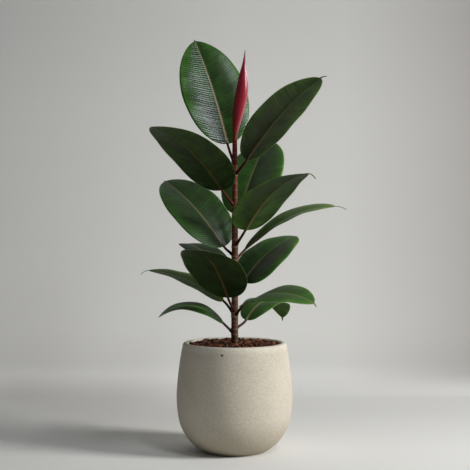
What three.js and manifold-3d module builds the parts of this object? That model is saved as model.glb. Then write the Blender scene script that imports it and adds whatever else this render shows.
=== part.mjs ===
// A potted rubber plant: a round-bellied stoneware pot, its soil, one upright trunk with
// fourteen leaf stalks, fourteen broad leaves and the closed red bud sheath at the top.
// Millimetres, +Z up, origin at the middle of the pot's base, viewer on the -Y side.
import * as THREE from "three";
import Module from "manifold-3d";

const wasm = await Module();
wasm.setup();

// ---- pot and soil ----
const POT_SIDES = 40;
const POT_OUTER = [ // radius, height: outside of the wall from the foot to the lip
  [66.5, 3], [78.9, 12], [92.3, 28], [102.8, 49], [107.9, 73], [109.8, 101],
  [107.9, 132], [104.5, 162], [100.6, 187], [98.4, 199],
];
const POT_FOOT_R = 62; // flat disc that the pot stands on
const POT_FLOOR = 14;
const POT_WALL = 11.5;
const LIP = [[97, 202], [93, 203.4], [89, 202.4], [87, 199.5]];
const SOIL_TOP = 197;
const SOIL_ROUGH = 2;
const GAP = 0.3; // clearance left between pieces that touch

// ---- trunk and stalks ----
const TRUNK_X = 0.6;
const TRUNK_SIDES = 12;
const TRUNK_R = [[125, 6.4], [205, 6.4], [300, 6.2], [420, 5.8], [520, 5.1], [587, 4.6]];
const SCAR_RISE = 0.6; // ring left round the trunk at each leaf
const SCAR_HALF = 3;
const STALK_R = [2.7, 2.3]; // at the trunk, at the blade
const STALK_SIDES = 6;
const STALK_STEPS = 7;

// ---- bud sheath ----
const SHEATH_FOOT = 587;
const SHEATH = [ // height above the foot, radius, how far it stands to the right
  [0, 4.4, 0], [10, 5, 0.6], [28, 7.5, 2.7], [42, 9.2, 4.6], [55, 10.4, 6.6], [70, 11, 9.3],
  [85, 11.1, 12], [99, 10.3, 13.9], [113, 8.8, 15], [126, 6.7, 15.8], [147, 3, 17.7], [171, 0.6, 19.6],
];
const SHEATH_SIDES = 16;

// ---- leaves ----
const BLADE_T = 1.3; // thickness by the midrib
const MARGIN_T = 0.9; // thickness at the edge
const TIP_HALF = 2.4; // half width where the drawn-out tip starts
const DRIP_END = 0.7; // half width where it ends
const RIB_TIP = 0.9; // the midrib's own half width at the tip
const CUP = 0.1; // how far the sides curl back, as a share of the half width
const BEND_POWER = 1.3; // above 1 the bend gathers towards the tip
const OVAL = 0.55; // 0.5 draws an ellipse, more a pointed oval; leaf.point is its value at the tip
const BLADE_ROWS = 14;
const DRIP_ROWS = 3;
const RIB_SHARE = [-1, -0.9, -0.75, -0.6, 0, 0.6, 0.75, 0.9, 1]; // columns over the midrib
const WEB_SHARE = [-1, -0.72, -0.4, 0, 0, 0, 0.4, 0.72, 1]; // columns over the blade
// node: height on the trunk. stalk: the blade's foot, from the trunk's axis at that height.
// way: the blade's heading round from +X, its rise, and its roll, in degrees.
// bend: droop, sideways sweep and twist along the blade. fold: how far the halves stand up.
// belly: where it is widest, from foot to tip. drip: length and droop of the drawn-out tip.
const LEAVES = [
  { node: 538, stalk: [-14, 10, 43], way: [128, 70, -24], size: [228, 131], bend: [5, 8, -1],
    fold: 11, belly: 0.47, point: 0.68, drip: [4, 10] },
  { node: 520, stalk: [22.5, -24, 28], way: [-30, 53, -17], size: [210, 107], bend: [25, 3, 2],
    fold: 11, belly: 0.47, point: 0.60, drip: [14, 40] },
  { node: 460, stalk: [-24, -24, 31], way: [229, 45, 12], size: [212, 115], bend: [35, -4, -8],
    fold: 9, belly: 0.41, point: 0.60, drip: [10, 70] },
  { node: 432, stalk: [8, 45, 15], way: [63, 57, 6], size: [211, 122], bend: [21, 0, 0],
    fold: 2, belly: 0.48, drip: [8, 10] },
  { node: 384, stalk: [20, -26, 32], way: [-56, 46, -5], size: [204, 105], bend: [39, 4, 11],
    fold: 11, belly: 0.40, point: 0.60, drip: [27, 60] },
  { node: 366, stalk: [-21, 11, 19], way: [151, 53, -34], size: [199, 112], bend: [30, 3, -1],
    fold: 10, belly: 0.46, point: 0.58, drip: [5, 20] },
  { node: 359, stalk: [19, 25, 19], way: [2, 47, -12], size: [199, 100], bend: [50, -3, -1],
    fold: 8, belly: 0.48, drip: [24, 30] },
  { node: 318, stalk: [-16, 23, 0], way: [142, 52, -10], size: [140, 88], bend: [48, -8, 2],
    fold: 9, belly: 0.46, point: 0.30, drip: [4, 0] },
  { node: 310, stalk: [16, 28, 6], way: [37, 48, 18], size: [169, 96], bend: [37, -4, -2],
    fold: 6, belly: 0.38, point: 0.58, drip: [5, 20] },
  { node: 259, stalk: [-13, -30, 31], way: [250, 48, 1], size: [190, 113], bend: [42, 1, -5],
    fold: 3, belly: 0.46, point: 0.50, drip: [5, 20] },
  { node: 255, stalk: [-23, 8, 27], way: [179, 37, 28], size: [154, 74], bend: [36, 0, -12],
    fold: 7, belly: 0.44, drip: [19, 60] },
  { node: 252, stalk: [16, -25, 22.5], way: [-45, 29, 14], size: [164, 95], bend: [60, 1, 7],
    fold: 7, belly: 0.45, point: 0.66, drip: [9, 60] },
  { node: 228, stalk: [22, 31, 15], way: [39, 50, 14], size: [149, 76], bend: [122, 8, -4],
    fold: 6, belly: 0.46, point: 0.75, drip: [8, 0] },
  { node: 218, stalk: [-22, -5, 22], way: [180, 45, -8], size: [138, 72], bend: [92, 3, -6],
    fold: 5, belly: 0.45, drip: [3, 10] },
];

const rad = THREE.MathUtils.degToRad;
const vec = (x, y, z) => new THREE.Vector3(x, y, z);

// Value at x on the broken line through [x, y] points.
function onLine(points, x) {
  let k = 1;
  while (k < points.length - 1 && points[k][0] < x) k++;
  const [x0, y0] = points[k - 1];
  const [x1, y1] = points[k];
  return THREE.MathUtils.lerp(y0, y1, THREE.MathUtils.clamp((x - x0) / (x1 - x0), 0, 1));
}

// Closed solid through rings of equal length: fans shut each end on the ring's own mean.
function skin(rings) {
  const pts = rings.flat();
  const n = rings[0].length;
  const tri = [];
  for (let r = 0; r + 1 < rings.length; r++) {
    for (let i = 0; i < n; i++) {
      const a = r * n + i;
      const b = r * n + (i + 1) % n;
      tri.push(a, b, b + n, a, b + n, a + n);
    }
  }
  const last = (rings.length - 1) * n;
  const foot = pts.push(mean(rings[0])) - 1;
  const head = pts.push(mean(rings[rings.length - 1])) - 1;
  for (let i = 0; i < n; i++) {
    const j = (i + 1) % n;
    tri.push(foot, j, i, head, last + i, last + j);
  }
  return solid(pts, tri);
}

function mean(ring) {
  const sum = ring.reduce((s, p) => s.add(p), vec(0, 0, 0));
  return sum.divideScalar(ring.length);
}

function solid(pts, tri) {
  const g = new THREE.BufferGeometry();
  g.setAttribute("position", new THREE.Float32BufferAttribute(pts.flatMap((p) => [p.x, p.y, p.z]), 3));
  g.setIndex(tri);
  return g;
}

// Ring of points round the centre, square to the direction along.
function ring(centre, along, radius, sides) {
  const side = vec(along.z, 0, -along.x).normalize();
  const up = along.clone().cross(side).normalize();
  return Array.from({ length: sides }, (_, i) => {
    const a = (2 * Math.PI * i) / sides;
    const out = side.clone().multiplyScalar(Math.cos(a)).addScaledVector(up, Math.sin(a));
    return centre.clone().addScaledVector(out, radius);
  });
}

// Level ring of points about the vertical line through x.
function level(x, radius, z, sides) {
  return Array.from({ length: sides }, (_, i) => {
    const a = (2 * Math.PI * i) / sides;
    return vec(x + radius * Math.cos(a), radius * Math.sin(a), z);
  });
}

// Outside of the pot as a smooth line of [radius, height].
function potOutline(steps) {
  const curve = new THREE.SplineCurve(POT_OUTER.map(([r, z]) => new THREE.Vector2(r, z)));
  return curve.getPoints(steps).map((p) => [p.x, p.y]);
}

// Inside of the wall, from the lip down to the floor, set in by the wall and a clearance.
function potInside(clear) {
  const outside = potOutline(10).map(([r, z]) => [z, r]);
  const heights = [185, 160, 130, 100, 72, 48, 30, POT_FLOOR + clear];
  return heights.map((z) => [onLine(outside, z) - POT_WALL - clear, z]);
}

function pot() {
  const wall = [[POT_FOOT_R, 0], ...potOutline(16), ...LIP, ...potInside(0)];
  return skin(wall.map(([r, z]) => level(0, r, z, POT_SIDES)));
}

// Seeded draw between 0 and 1 for whole numbers i and j.
function grain(i, j) {
  const s = Math.sin(i * 127.1 + j * 311.7) * 43758.5453;
  return s - Math.floor(s);
}

// Soil to the pot's floor, with a crumbled top and a plain hole for the trunk.
function soil() {
  const hole = TRUNK_R[0][1] + GAP + 0.05;
  const floor = TRUNK_R[0][0] - GAP;
  const rough = (i, j) => SOIL_ROUGH * (grain(i, j) - 0.5);
  const top = [hole, 18, 30, 42, 54, 66, 77].map((r, j) =>
    level(0, r, SOIL_TOP, POT_SIDES).map((p, i) => p.add(vec(j ? 0 : TRUNK_X, 0, j ? rough(i, j) : 0))));
  const edge = level(0, LIP[3][0] - GAP, SOIL_TOP, POT_SIDES);
  const side = potInside(GAP).map(([r, z]) => level(0, r, z, POT_SIDES));
  const bore = level(TRUNK_X, hole, floor, POT_SIDES);
  return skin([...side.reverse(), edge, ...top.reverse(), bore]);
}

function trunkRadius(z) {
  const scar = LEAVES.reduce((s, l) => Math.max(s, 1 - Math.abs(z - l.node) / SCAR_HALF), 0);
  return onLine(TRUNK_R, z) + SCAR_RISE * scar;
}

function trunk() {
  const marks = LEAVES.flatMap((l) => [l.node - SCAR_HALF, l.node, l.node + SCAR_HALF]);
  const all = [...TRUNK_R.map((p) => p[0]), ...marks].sort((a, b) => a - b);
  const heights = all.filter((z, i) => i === 0 || z - all[i - 1] > 0.5);
  return skin(heights.map((z) => level(TRUNK_X, trunkRadius(z), z, TRUNK_SIDES)));
}

function foot(leaf) {
  const [x, y, z] = leaf.stalk;
  return vec(TRUNK_X + x, y, leaf.node + z);
}

// Heading and upper-side normal of a blade at its foot.
function start(leaf) {
  const [round, rise, roll] = leaf.way.map(rad);
  const along = vec(Math.cos(rise) * Math.cos(round), Math.cos(rise) * Math.sin(round), Math.sin(rise));
  const up = vec(-Math.sin(rise) * Math.cos(round), -Math.sin(rise) * Math.sin(round), Math.cos(rise));
  return { along, up: up.applyAxisAngle(along, roll) };
}

// Stalk from the trunk's middle, bending into the blade's heading just short of its foot.
function stalk(leaf) {
  const { along } = start(leaf);
  const end = foot(leaf).addScaledVector(along, -GAP);
  const root = vec(TRUNK_X, 0, leaf.node);
  const reach = end.distanceTo(root);
  const out = end.clone().sub(root).normalize();
  const curve = new THREE.CubicBezierCurve3(
    root, root.clone().addScaledVector(out, reach * 0.4), end.clone().addScaledVector(along, -reach * 0.3), end);
  const rings = [];
  for (let k = 0; k <= STALK_STEPS; k++) {
    const t = k / STALK_STEPS;
    const radius = THREE.MathUtils.lerp(STALK_R[0], STALK_R[1], t);
    rings.push(ring(curve.getPoint(t), curve.getTangent(t), radius, STALK_SIDES));
  }
  return skin(rings);
}

function toManifold(g) {
  const vertProperties = new Float32Array(g.attributes.position.array);
  return new wasm.Manifold(new wasm.Mesh({ numProp: 3, vertProperties, triVerts: new Uint32Array(g.index.array) }));
}

function fromManifold(m) {
  const mesh = m.getMesh();
  const g = new THREE.BufferGeometry();
  g.setAttribute("position", new THREE.BufferAttribute(new Float32Array(mesh.vertProperties), 3));
  g.setIndex(new THREE.BufferAttribute(new Uint32Array(mesh.triVerts), 1));
  return g;
}

function stem() {
  let whole = toManifold(trunk());
  for (const leaf of LEAVES) whole = whole.add(toManifold(stalk(leaf)));
  return fromManifold(whole);
}

// Closed spindle with a narrow neck and a long point that leans to the right.
function budSheath() {
  return skin(SHEATH.map(([height, radius, lean]) =>
    level(TRUNK_X + lean, radius, SHEATH_FOOT + GAP + height, SHEATH_SIDES)));
}

// Half the blade's breadth from foot (t = 0) to tip (t = 1).
function halfWidth(leaf, t) {
  const q = t ** (Math.log(0.5) / Math.log(leaf.belly));
  const foot = THREE.MathUtils.lerp(STALK_R[1], TIP_HALF, t);
  return foot + (leaf.size[1] / 2 - foot) * (4 * q * (1 - q)) ** THREE.MathUtils.lerp(OVAL, leaf.point ?? OVAL, t);
}

// Places along the midrib with the blade's heading, its upper side and its half width.
function midrib(leaf) {
  const [long] = leaf.size;
  const [droop, sweep, twist] = leaf.bend.map(rad);
  let { along, up } = start(leaf);
  let place = foot(leaf);
  const rows = [{ place, along, up, half: STALK_R[1], t: 0 }];
  const step = (length, turn, swing, spin, half, t) => {
    const across = up.clone().cross(along).normalize();
    const ahead = along.clone().applyAxisAngle(across, turn);
    up = up.clone().applyAxisAngle(across, turn);
    ahead.applyAxisAngle(up, swing);
    up.applyAxisAngle(ahead, spin);
    place = place.clone().addScaledVector(along.clone().add(ahead).normalize(), length);
    along = ahead;
    rows.push({ place, along, up, half, t });
  };
  let before = 0;
  for (let i = 1; i <= BLADE_ROWS; i++) {
    const t = (1 - Math.cos((Math.PI * i) / BLADE_ROWS)) / 2;
    const share = t ** BEND_POWER - before ** BEND_POWER;
    step(long * (t - before), droop * share, sweep * (t - before), twist * (t - before), halfWidth(leaf, t), t);
    before = t;
  }
  for (let i = 1; i <= DRIP_ROWS; i++) {
    const [drip, hang] = leaf.drip;
    const half = THREE.MathUtils.lerp(TIP_HALF, DRIP_END, i / DRIP_ROWS);
    step(drip / DRIP_ROWS, rad(hang) / DRIP_ROWS, 0, 0, half, 1);
  }
  return rows;
}

// One blade: an upper and a lower sheet on the same columns, thick at the midrib.
function blade(leaf) {
  const fold = rad(leaf.fold);
  const rings = midrib(leaf).map(({ place, along, up, half, t }) => {
    const across = up.clone().cross(along).normalize();
    const rib = THREE.MathUtils.lerp(STALK_R[1], RIB_TIP, t);
    const ribT = THREE.MathUtils.lerp(2 * STALK_R[1], 1.1, t ** 0.6);
    const sheet = (face) => RIB_SHARE.map((share, j) => {
      const v = Math.min(rib, half) * share + Math.max(half - rib, 0) * WEB_SHARE[j];
      const lift = Math.abs(v) * Math.sin(fold) - (CUP * v * v) / half;
      const slope = Math.atan(Math.sign(v) * Math.sin(fold) - (2 * CUP * v) / half);
      const normal = up.clone().multiplyScalar(Math.cos(slope)).addScaledVector(across, -Math.sin(slope));
      const web = THREE.MathUtils.lerp(BLADE_T, MARGIN_T, Math.abs(WEB_SHARE[j]));
      const thick = j === 4 ? ribT : web;
      return place.clone().addScaledVector(across, v * Math.cos(fold)).addScaledVector(up, lift)
        .addScaledVector(normal, (face * thick) / 2);
    });
    return [...sheet(1), ...sheet(-1).reverse()];
  });
  return shell(rings);
}

// Closed solid of a blade: its rings hold the upper columns, then the lower ones backwards.
function shell(rings) {
  const n = rings[0].length;
  const half = n / 2;
  const tri = [];
  const quad = (a, b, c, d) => tri.push(a, d, c, a, c, b);
  for (let r = 0; r + 1 < rings.length; r++) {
    for (let i = 0; i < n; i++) {
      const a = r * n + i;
      const b = r * n + (i + 1) % n;
      if (i < half) quad(a, b, b + n, a + n);
      else quad(b, b + n, a + n, a);
    }
  }
  const last = (rings.length - 1) * n;
  for (let i = 0; i + 1 < half; i++) {
    const j = n - 1 - i;
    quad(i, j, j - 1, i + 1);
    quad(last + i, last + i + 1, last + j - 1, last + j);
  }
  return solid(rings.flat(), tri);
}

const clay = new THREE.MeshStandardMaterial({ color: 0xb5afa0, roughness: 0.85 });
const earth = new THREE.MeshStandardMaterial({ color: 0x4a2d1e, roughness: 0.95 });
const bark = new THREE.MeshStandardMaterial({ color: 0x6b4634, roughness: 0.7 });
const red = new THREE.MeshStandardMaterial({ color: 0x8c1c30, roughness: 0.4 });
const green = new THREE.MeshStandardMaterial({ color: 0x24401f, roughness: 0.35 });

const plant = new THREE.Group();
function put(name, geometry, material) {
  const mesh = new THREE.Mesh(geometry, material);
  mesh.name = name;
  plant.add(mesh);
}

put("pot", pot(), clay);
put("soil", soil(), earth);
put("stem", stem(), bark);
put("bud_sheath", budSheath(), red);
LEAVES.forEach((leaf, i) => put(`leaf_${String(i + 1).padStart(2, "0")}`, blade(leaf), green));

export default plant;
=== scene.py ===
# %% [markdown]
# # A potted rubber plant
# A young rubber plant is a straight woody trunk with broad waxy leaves on short red stalks.
# A closed red sheath at the top wraps the next leaf. The plant stands in a round-bellied
# stoneware pot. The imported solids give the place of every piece. This file builds the
# visible surfaces round them, from the same named sizes: the tables are in millimetres, and
# MM turns them to Blender's metres.

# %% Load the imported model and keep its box
import math
import bpy
import numpy as np
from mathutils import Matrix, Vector


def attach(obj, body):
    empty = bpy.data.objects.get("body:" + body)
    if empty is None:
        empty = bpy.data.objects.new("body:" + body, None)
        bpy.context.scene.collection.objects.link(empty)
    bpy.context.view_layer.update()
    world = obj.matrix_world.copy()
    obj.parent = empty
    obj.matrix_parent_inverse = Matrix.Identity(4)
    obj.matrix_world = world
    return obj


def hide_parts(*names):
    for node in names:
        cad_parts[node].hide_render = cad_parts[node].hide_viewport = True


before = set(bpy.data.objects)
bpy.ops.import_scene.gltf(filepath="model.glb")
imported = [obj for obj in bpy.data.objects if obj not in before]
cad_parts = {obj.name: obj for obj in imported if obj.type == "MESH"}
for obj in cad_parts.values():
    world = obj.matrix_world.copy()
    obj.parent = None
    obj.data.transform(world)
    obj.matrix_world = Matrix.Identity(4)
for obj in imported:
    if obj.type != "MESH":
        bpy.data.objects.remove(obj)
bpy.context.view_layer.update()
MM = 0.001

# %% [markdown]
# ## Camera
# The photograph was taken level, a little above half the plant's height, from nearly two
# metres. A camera could be placed by eye. This one was worked out from the flat ellipses
# that the pot's lip and base make in the picture, because they fix both its height and its
# distance. A long lens keeps the rim flat and the leaves undistorted.

# %% Camera
CAMERA_AT = (0.00095, -1.843, 0.4068)
FOCAL_PX, FRAME_PX, SENSOR_MM = 970, 470, 36.0
camera = bpy.data.objects.new("camera", bpy.data.cameras.new("camera"))
camera.data.sensor_width = SENSOR_MM
camera.data.lens = FOCAL_PX / FRAME_PX * SENSOR_MM
camera.location = CAMERA_AT
camera.rotation_euler = (math.pi / 2, 0, 0)
bpy.context.collection.objects.link(camera)
bpy.context.scene.camera = camera
bpy.context.scene.view_settings.view_transform = "Standard"
print("lens", round(camera.data.lens, 2), "mm")

# %% [markdown]
# ## Floor and wall
# The plant stands on a sheet of pale matt paper that curves up into the wall behind it,
# so no line shows where one becomes the other. A plane with one bevelled fold would do. Here
# the sheet is a profile of floor, quarter circle and wall, carried sideways, because every
# surface in this file is made in that one way: a grid of points worked out at once, whose
# rows run along the piece and whose columns run across or round it.

# %% Floor and wall surface
FLOOR_FRONT, FLOOR_MIDDLE, WALL_AT, COVE, WALL_TOP, SIDE = -3.2, -1.0, 0.66, 0.08, 3.0, 4.0


def shell(grid, loop=True, poles=True):
    """Quads between neighbouring grid points. A loop joins the last column to the first,
    and a pole at the mean of an end row closes that end with a fan of triangles."""
    rows, columns = grid.shape[:2]
    here = np.arange(rows * columns).reshape(rows, columns)
    there = np.roll(here, -1, axis=1)
    if not loop:
        here, there = here[:, :-1], there[:, :-1]
    quads = np.stack([here[:-1], there[:-1], there[1:], here[1:]], -1).reshape(-1, 4)
    points = grid.reshape(rows * columns, -1)
    fans = np.empty((0, 3), int)
    if poles:
        points = np.vstack([points, grid[0].mean(0), grid[-1].mean(0)])
        low = np.full(columns, rows * columns)
        fans = np.vstack([np.stack([there[0], here[0], low], -1),
                          np.stack([here[-1], there[-1], low + 1], -1)])
    return points, quads, fans


turn = np.linspace(0, math.pi / 2, 17)
curve = np.stack([WALL_AT - COVE + COVE * np.sin(turn), COVE - COVE * np.cos(turn)], -1)
profile = np.vstack([[[FLOOR_FRONT, 0], [FLOOR_MIDDLE, 0]], curve, [[WALL_AT, WALL_TOP]]])
across = np.linspace(-SIDE, SIDE, 9)
sweep = np.empty((len(profile), len(across), 3))
sweep[..., 0] = across
sweep[..., 1:] = profile[:, None]
points, quads, _ = shell(sweep, loop=False, poles=False)
print("backdrop faces", len(quads))

# %% [markdown]
# The paper is matt and nearly neutral. On a studio wall the light falls off up high and towards
# the corners, and on a floor it falls off towards the wall. More lamps could give that, but each
# would also change the plant. So colour ramps paint that shade on the paper alone: one across and
# one up are multiplied on the wall, and on the floor one back and one that darkens the left side.
# The back of the sheet is clear, so that the plant can be looked at from behind it too. All
# colours in this file are screen colours in hex, and one function turns them to the linear values
# that shaders work with. A second one adds every shader node, whatever its kind.

# %% Colours and shader nodes
def lin(code):
    """sRGB hex to a linear colour: each channel c becomes ((c + 0.055) / 1.055) ** 2.4."""
    c = np.array([int(code[i:i + 2], 16) for i in (1, 3, 5)]) / 255
    return (*np.where(c <= 0.04045, c / 12.92, ((c + 0.055) / 1.055) ** 2.4).tolist(), 1.0)


def add(tree, kind, links, out=0, stops=(), **settings):
    """Add one shader node and give back one of its outputs. Settings name its properties,
    links its inputs with a value or another node's output, and stops a ramp's colours."""
    node = tree.nodes.new("ShaderNode" + kind)
    for key, value in settings.items():
        setattr(node, key, value)
    for key, value in links.items():
        if isinstance(value, bpy.types.NodeSocket):
            tree.links.new(value, node.inputs[key])
        else:
            node.inputs[key].default_value = value
    if stops:
        band = node.color_ramp.elements
        band[0].position, band[1].position = stops[0][0], stops[-1][0]
        for position, _ in stops[1:-1]:
            band.new(position)
        for element, (_, code) in zip(band, stops):
            element.color = lin(code)
    return node.outputs[out] if len(node.outputs) else node


def new_material(name):
    """A material with an empty tree."""
    material = bpy.data.materials.new(name)
    material.use_nodes = True
    material.node_tree.nodes.clear()
    return material, material.node_tree


print("half-way grey on the screen is", round(lin("#808080")[0], 3), "in linear light")

# %% Matt backdrop paper
HALF_WIDE, WALL_SEEN, FOLD_SHARE = 0.69, 1.1, 0.05
paper, tree = new_material("matt_backdrop_paper")
place = add(tree, "TexCoord", {}, out="Object")
right = add(tree, "SeparateXYZ", {"Vector": place}, out="X")
up = add(tree, "SeparateXYZ", {"Vector": place}, out="Z")
right = add(tree, "MapRange", {"Value": right, "From Min": -HALF_WIDE, "From Max": HALF_WIDE})
up = add(tree, "MapRange", {"Value": up, "From Min": 0.0, "From Max": WALL_SEEN})
# Painted shade on the wall: darker towards the top and the sides, most of all on the right.
wide = add(tree, "ValToRGB", {"Fac": right}, stops=[
    (0.0, "#eeeeeb"), (0.3, "#f6f6f3"), (0.5, "#f6f6f3"), (0.7, "#e9e9e6"), (0.95, "#b9b8b5")])
tall = add(tree, "ValToRGB", {"Fac": up}, stops=[
    (0.03, "#f5f5f5"), (0.15, "#fafafa"), (0.37, "#f1f1f1"), (0.64, "#e9e9e9"),
    (0.89, "#dadada")])
wall = add(tree, "Mix", {0: 1.0, 6: wide, 7: tall}, out=2, data_type="RGBA",
           blend_type="MULTIPLY")
is_floor = add(tree, "MapRange", {"Value": up, "From Min": 0.0, "From Max": FOLD_SHARE,
                                  "To Min": 1.0, "To Max": 0.0},
               interpolation_type="SMOOTHSTEP")
back = add(tree, "SeparateXYZ", {"Vector": place}, out="Y")
back = add(tree, "MapRange", {"Value": back, "From Min": 0.0, "From Max": WALL_AT})
# Painted shade on the floor: darker towards the wall and on the far left.
floor = add(tree, "ValToRGB", {"Fac": back}, stops=[
    (0.0, "#ebebe8"), (0.6, "#d9d9d6"), (1.0, "#d8d8d5")])
left = add(tree, "ValToRGB", {"Fac": right}, stops=[(0.1, "#efefef"), (0.4, "#ffffff")])
floor = add(tree, "Mix", {0: 1.0, 6: floor, 7: left}, out=2, data_type="RGBA",
            blend_type="MULTIPLY")
tone = add(tree, "Mix", {0: is_floor, 6: wall, 7: floor}, out=2, data_type="RGBA")
surface = add(tree, "BsdfPrincipled", {"Base Color": tone, "Roughness": 0.95,
                                       "Specular IOR Level": 0.2})
behind = add(tree, "NewGeometry", {}, out="Backfacing")
clear = add(tree, "BsdfTransparent", {})
surface = add(tree, "MixShader", {0: behind, 1: surface, 2: clear})
add(tree, "OutputMaterial", {"Surface": surface})
print("paper nodes", len(tree.nodes))

# %% Backdrop sheet
mesh = bpy.data.meshes.new("backdrop")
mesh.from_pydata(points.tolist(), [], quads.tolist())
mesh.polygons.foreach_set("use_smooth", np.ones(len(quads), bool))
mesh.materials.append(paper)
backdrop = bpy.data.objects.new("backdrop", mesh)
bpy.context.collection.objects.link(backdrop)
print("backdrop", 2 * SIDE, "m wide,", WALL_TOP, "m high")

# %% [markdown]
# ## Light
# One large soft window stands to the right and a little in front, low enough to throw the
# pot's shadow to the left. A small softbox over the right shoulder makes the sheen on the
# upper leaves. The room gives a weak even fill. Sun or point lamps would be simpler, but
# only a lamp with a size gives the shadow its soft edge and the waxy leaves a broad sheen.

# %% Light
def panel(name, at, aim, size, watts, colour):
    """A rectangular lamp at one point, turned to face another."""
    lamp = bpy.data.lights.new(name, "AREA")
    lamp.shape = "RECTANGLE"
    lamp.size, lamp.size_y = size
    lamp.energy = watts
    lamp.color = lin(colour)[:3]
    thing = bpy.data.objects.new(name, lamp)
    thing.location = at
    thing.rotation_euler = (Vector(aim) - Vector(at)).to_track_quat("-Z", "Y").to_euler()
    bpy.context.collection.objects.link(thing)


WINDOW_AT, SOFTBOX_AT = (3.5, -1.08, 2.0), (0.94, -1.21, 2.07)
LOW_LEAVES_AT, TOP_LEAF_AT = (0, 0, 0.3), (-0.03, 0.04, 0.69)
ROOM_STRENGTH = 0.08
panel("window", WINDOW_AT, LOW_LEAVES_AT, (1.0, 1.1), 150, "#fffdfb")
panel("small_softbox", SOFTBOX_AT, TOP_LEAF_AT, (0.44, 0.56), 10, "#f4f8ff")
world = bpy.data.worlds.new("room")
bpy.context.scene.world = world
world.use_nodes = True
room = world.node_tree.nodes["Background"]
room.inputs["Color"].default_value = lin("#e6e7ea")
room.inputs["Strength"].default_value = ROOM_STRENGTH

# %% [markdown]
# ## Pot
# The pot is matt unglazed stoneware, cast in one piece: a broad belly, a slightly smaller
# mouth with a soft lip, and a small flat foot. Blender's Screw modifier could turn a drawn
# curve. Here the profile is a table of radius and height, carried round the axis as numbers,
# because the soil can then be fitted to the same inner wall. The profile runs from the
# middle of the foot, up the outside, over the lip and down to the middle of the floor, so
# one closed skin holds both sides of the wall.

# %% Pot profile
POT_OUTER = [(66.5, 3), (78.9, 12), (92.3, 28), (102.8, 49), (107.9, 73), (109.8, 101),
             (107.9, 132), (104.5, 162), (100.6, 187), (98.4, 199)]
LIP = [(98.4, 199), (97, 202), (93, 203.4), (89, 202.4), (87, 199.5)]
FOOT = [(2, 0), (30, 0), (58, 0), (61.5, 0.1), (63.6, 0.9), (66.5, 3)]
POT_WALL, POT_FLOOR, SOIL_TOP = 11.5, 14, 197
INSIDE_Z = np.array([185, 160, 130, 100, 72, 48, 30, POT_FLOOR])


def smooth_line(points, count):
    """A line of count points through the given ones: between two neighbours it is the
    cubic whose slope at each point is half the step from the point before to the one after."""
    p = np.array(points, float)
    at = np.linspace(0, len(p) - 1, count)
    i = np.minimum(at.astype(int), len(p) - 2)
    t = (at - i)[:, None]
    a, b, c, d = (p[np.clip(i + k, 0, len(p) - 1)] for k in (-1, 0, 1, 2))
    return (2 * b + (c - a) * t + (2 * a - 5 * b + 4 * c - d) * t**2
            + (3 * b - a - 3 * c + d) * t**3) / 2


outside = smooth_line(POT_OUTER, 90)
inside_r = np.interp(INSIDE_Z, outside[:, 1], outside[:, 0]) - POT_WALL
inside = smooth_line(np.vstack([LIP[-1:], np.stack([inside_r, INSIDE_Z], -1)]), 30)
base = [(60, POT_FLOOR), (30, POT_FLOOR), (2, POT_FLOOR)]
profile = np.vstack([smooth_line(FOOT, 16)[:-1], outside, smooth_line(LIP, 22)[1:],
                     inside[1:], base])
print("pot profile", len(profile), "points, mouth radius", LIP[-1][0], "mm")

# %% Pot surface
TURNS, WOBBLE_MM = 176, 0.12
TURN_ANGLE = np.arange(TURNS) / TURNS * 2 * math.pi


def revolve(line, wobble=0.0):
    """Carry pairs of radius and height round the upright axis: x = r cos a, y = r sin a.
    A wobble adds a slow unevenness of that many millimetres to the radius."""
    r, z = np.array(line)[:, :1], np.array(line)[:, 1:]
    uneven = (np.sin(2 * TURN_ANGLE + z / 60) + 0.6 * np.sin(3 * TURN_ANGLE - z / 45 + 1)
              + 0.4 * np.sin(5 * TURN_ANGLE + z / 30 + 2))
    r = r + wobble * uneven * np.clip(z / 20, 0, 1)
    return np.stack([r * np.cos(TURN_ANGLE), r * np.sin(TURN_ANGLE), z + 0 * TURN_ANGLE], -1) * MM


pot_grid = revolve(profile, wobble=WOBBLE_MM)
print("pot grid", pot_grid.shape)

# %% [markdown]
# Stoneware this matt scatters light evenly, so its IOR stays near 1.5 and its roughness near 0.9.
# What gives it life is in the clay: sand-coloured grains of one to two millimetres, slow warm and
# cool clouds some centimetres wide, and now and then a pinhole where an air bubble met the mould,
# painted darker as the shade in its hollow. One larger pit sits on the front, a little under the
# lip, painted with the same shade. Painted shade darkens the foot towards the floor, so that the
# foot is a little darker than the lip, and painted light brightens the top of the lip. A picture
# of clay could be wrapped round the pot, but noise has no seam, and its scale follows from the
# real size of a grain.

# %% Unglazed stoneware
GRAIN_MM, CLOUD_MM, PINHOLE_MM, PIT_MM = 1.6, 45.0, 9.0, 2.5
PIT_AT = (-0.0227, -0.0976, 0.1898)
stoneware, tree = new_material("unglazed_sand_stoneware")
place = add(tree, "TexCoord", {}, out="Object")
grain = add(tree, "TexNoise", {"Vector": place, "Scale": 1 / (GRAIN_MM * MM), "Detail": 3.0,
                               "Roughness": 0.6})
cloud = add(tree, "TexNoise", {"Vector": place, "Scale": 1 / (CLOUD_MM * MM), "Detail": 4.0})
hole = add(tree, "TexVoronoi", {"Vector": place, "Scale": 1 / (PINHOLE_MM * MM)}, feature="F1")
hole = add(tree, "MapRange", {"Value": hole, "From Min": 0.04, "From Max": 0.085})
pit = add(tree, "VectorMath", {0: place, 1: PIT_AT}, out="Value", operation="DISTANCE")
pit = add(tree, "MapRange", {"Value": pit, "From Min": 0.6 * PIT_MM * MM,
                             "From Max": 1.3 * PIT_MM * MM})
clay = add(tree, "ValToRGB", {"Fac": cloud}, stops=[(0.3, "#d2cbba"), (0.7, "#dfd9cb")])
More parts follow.
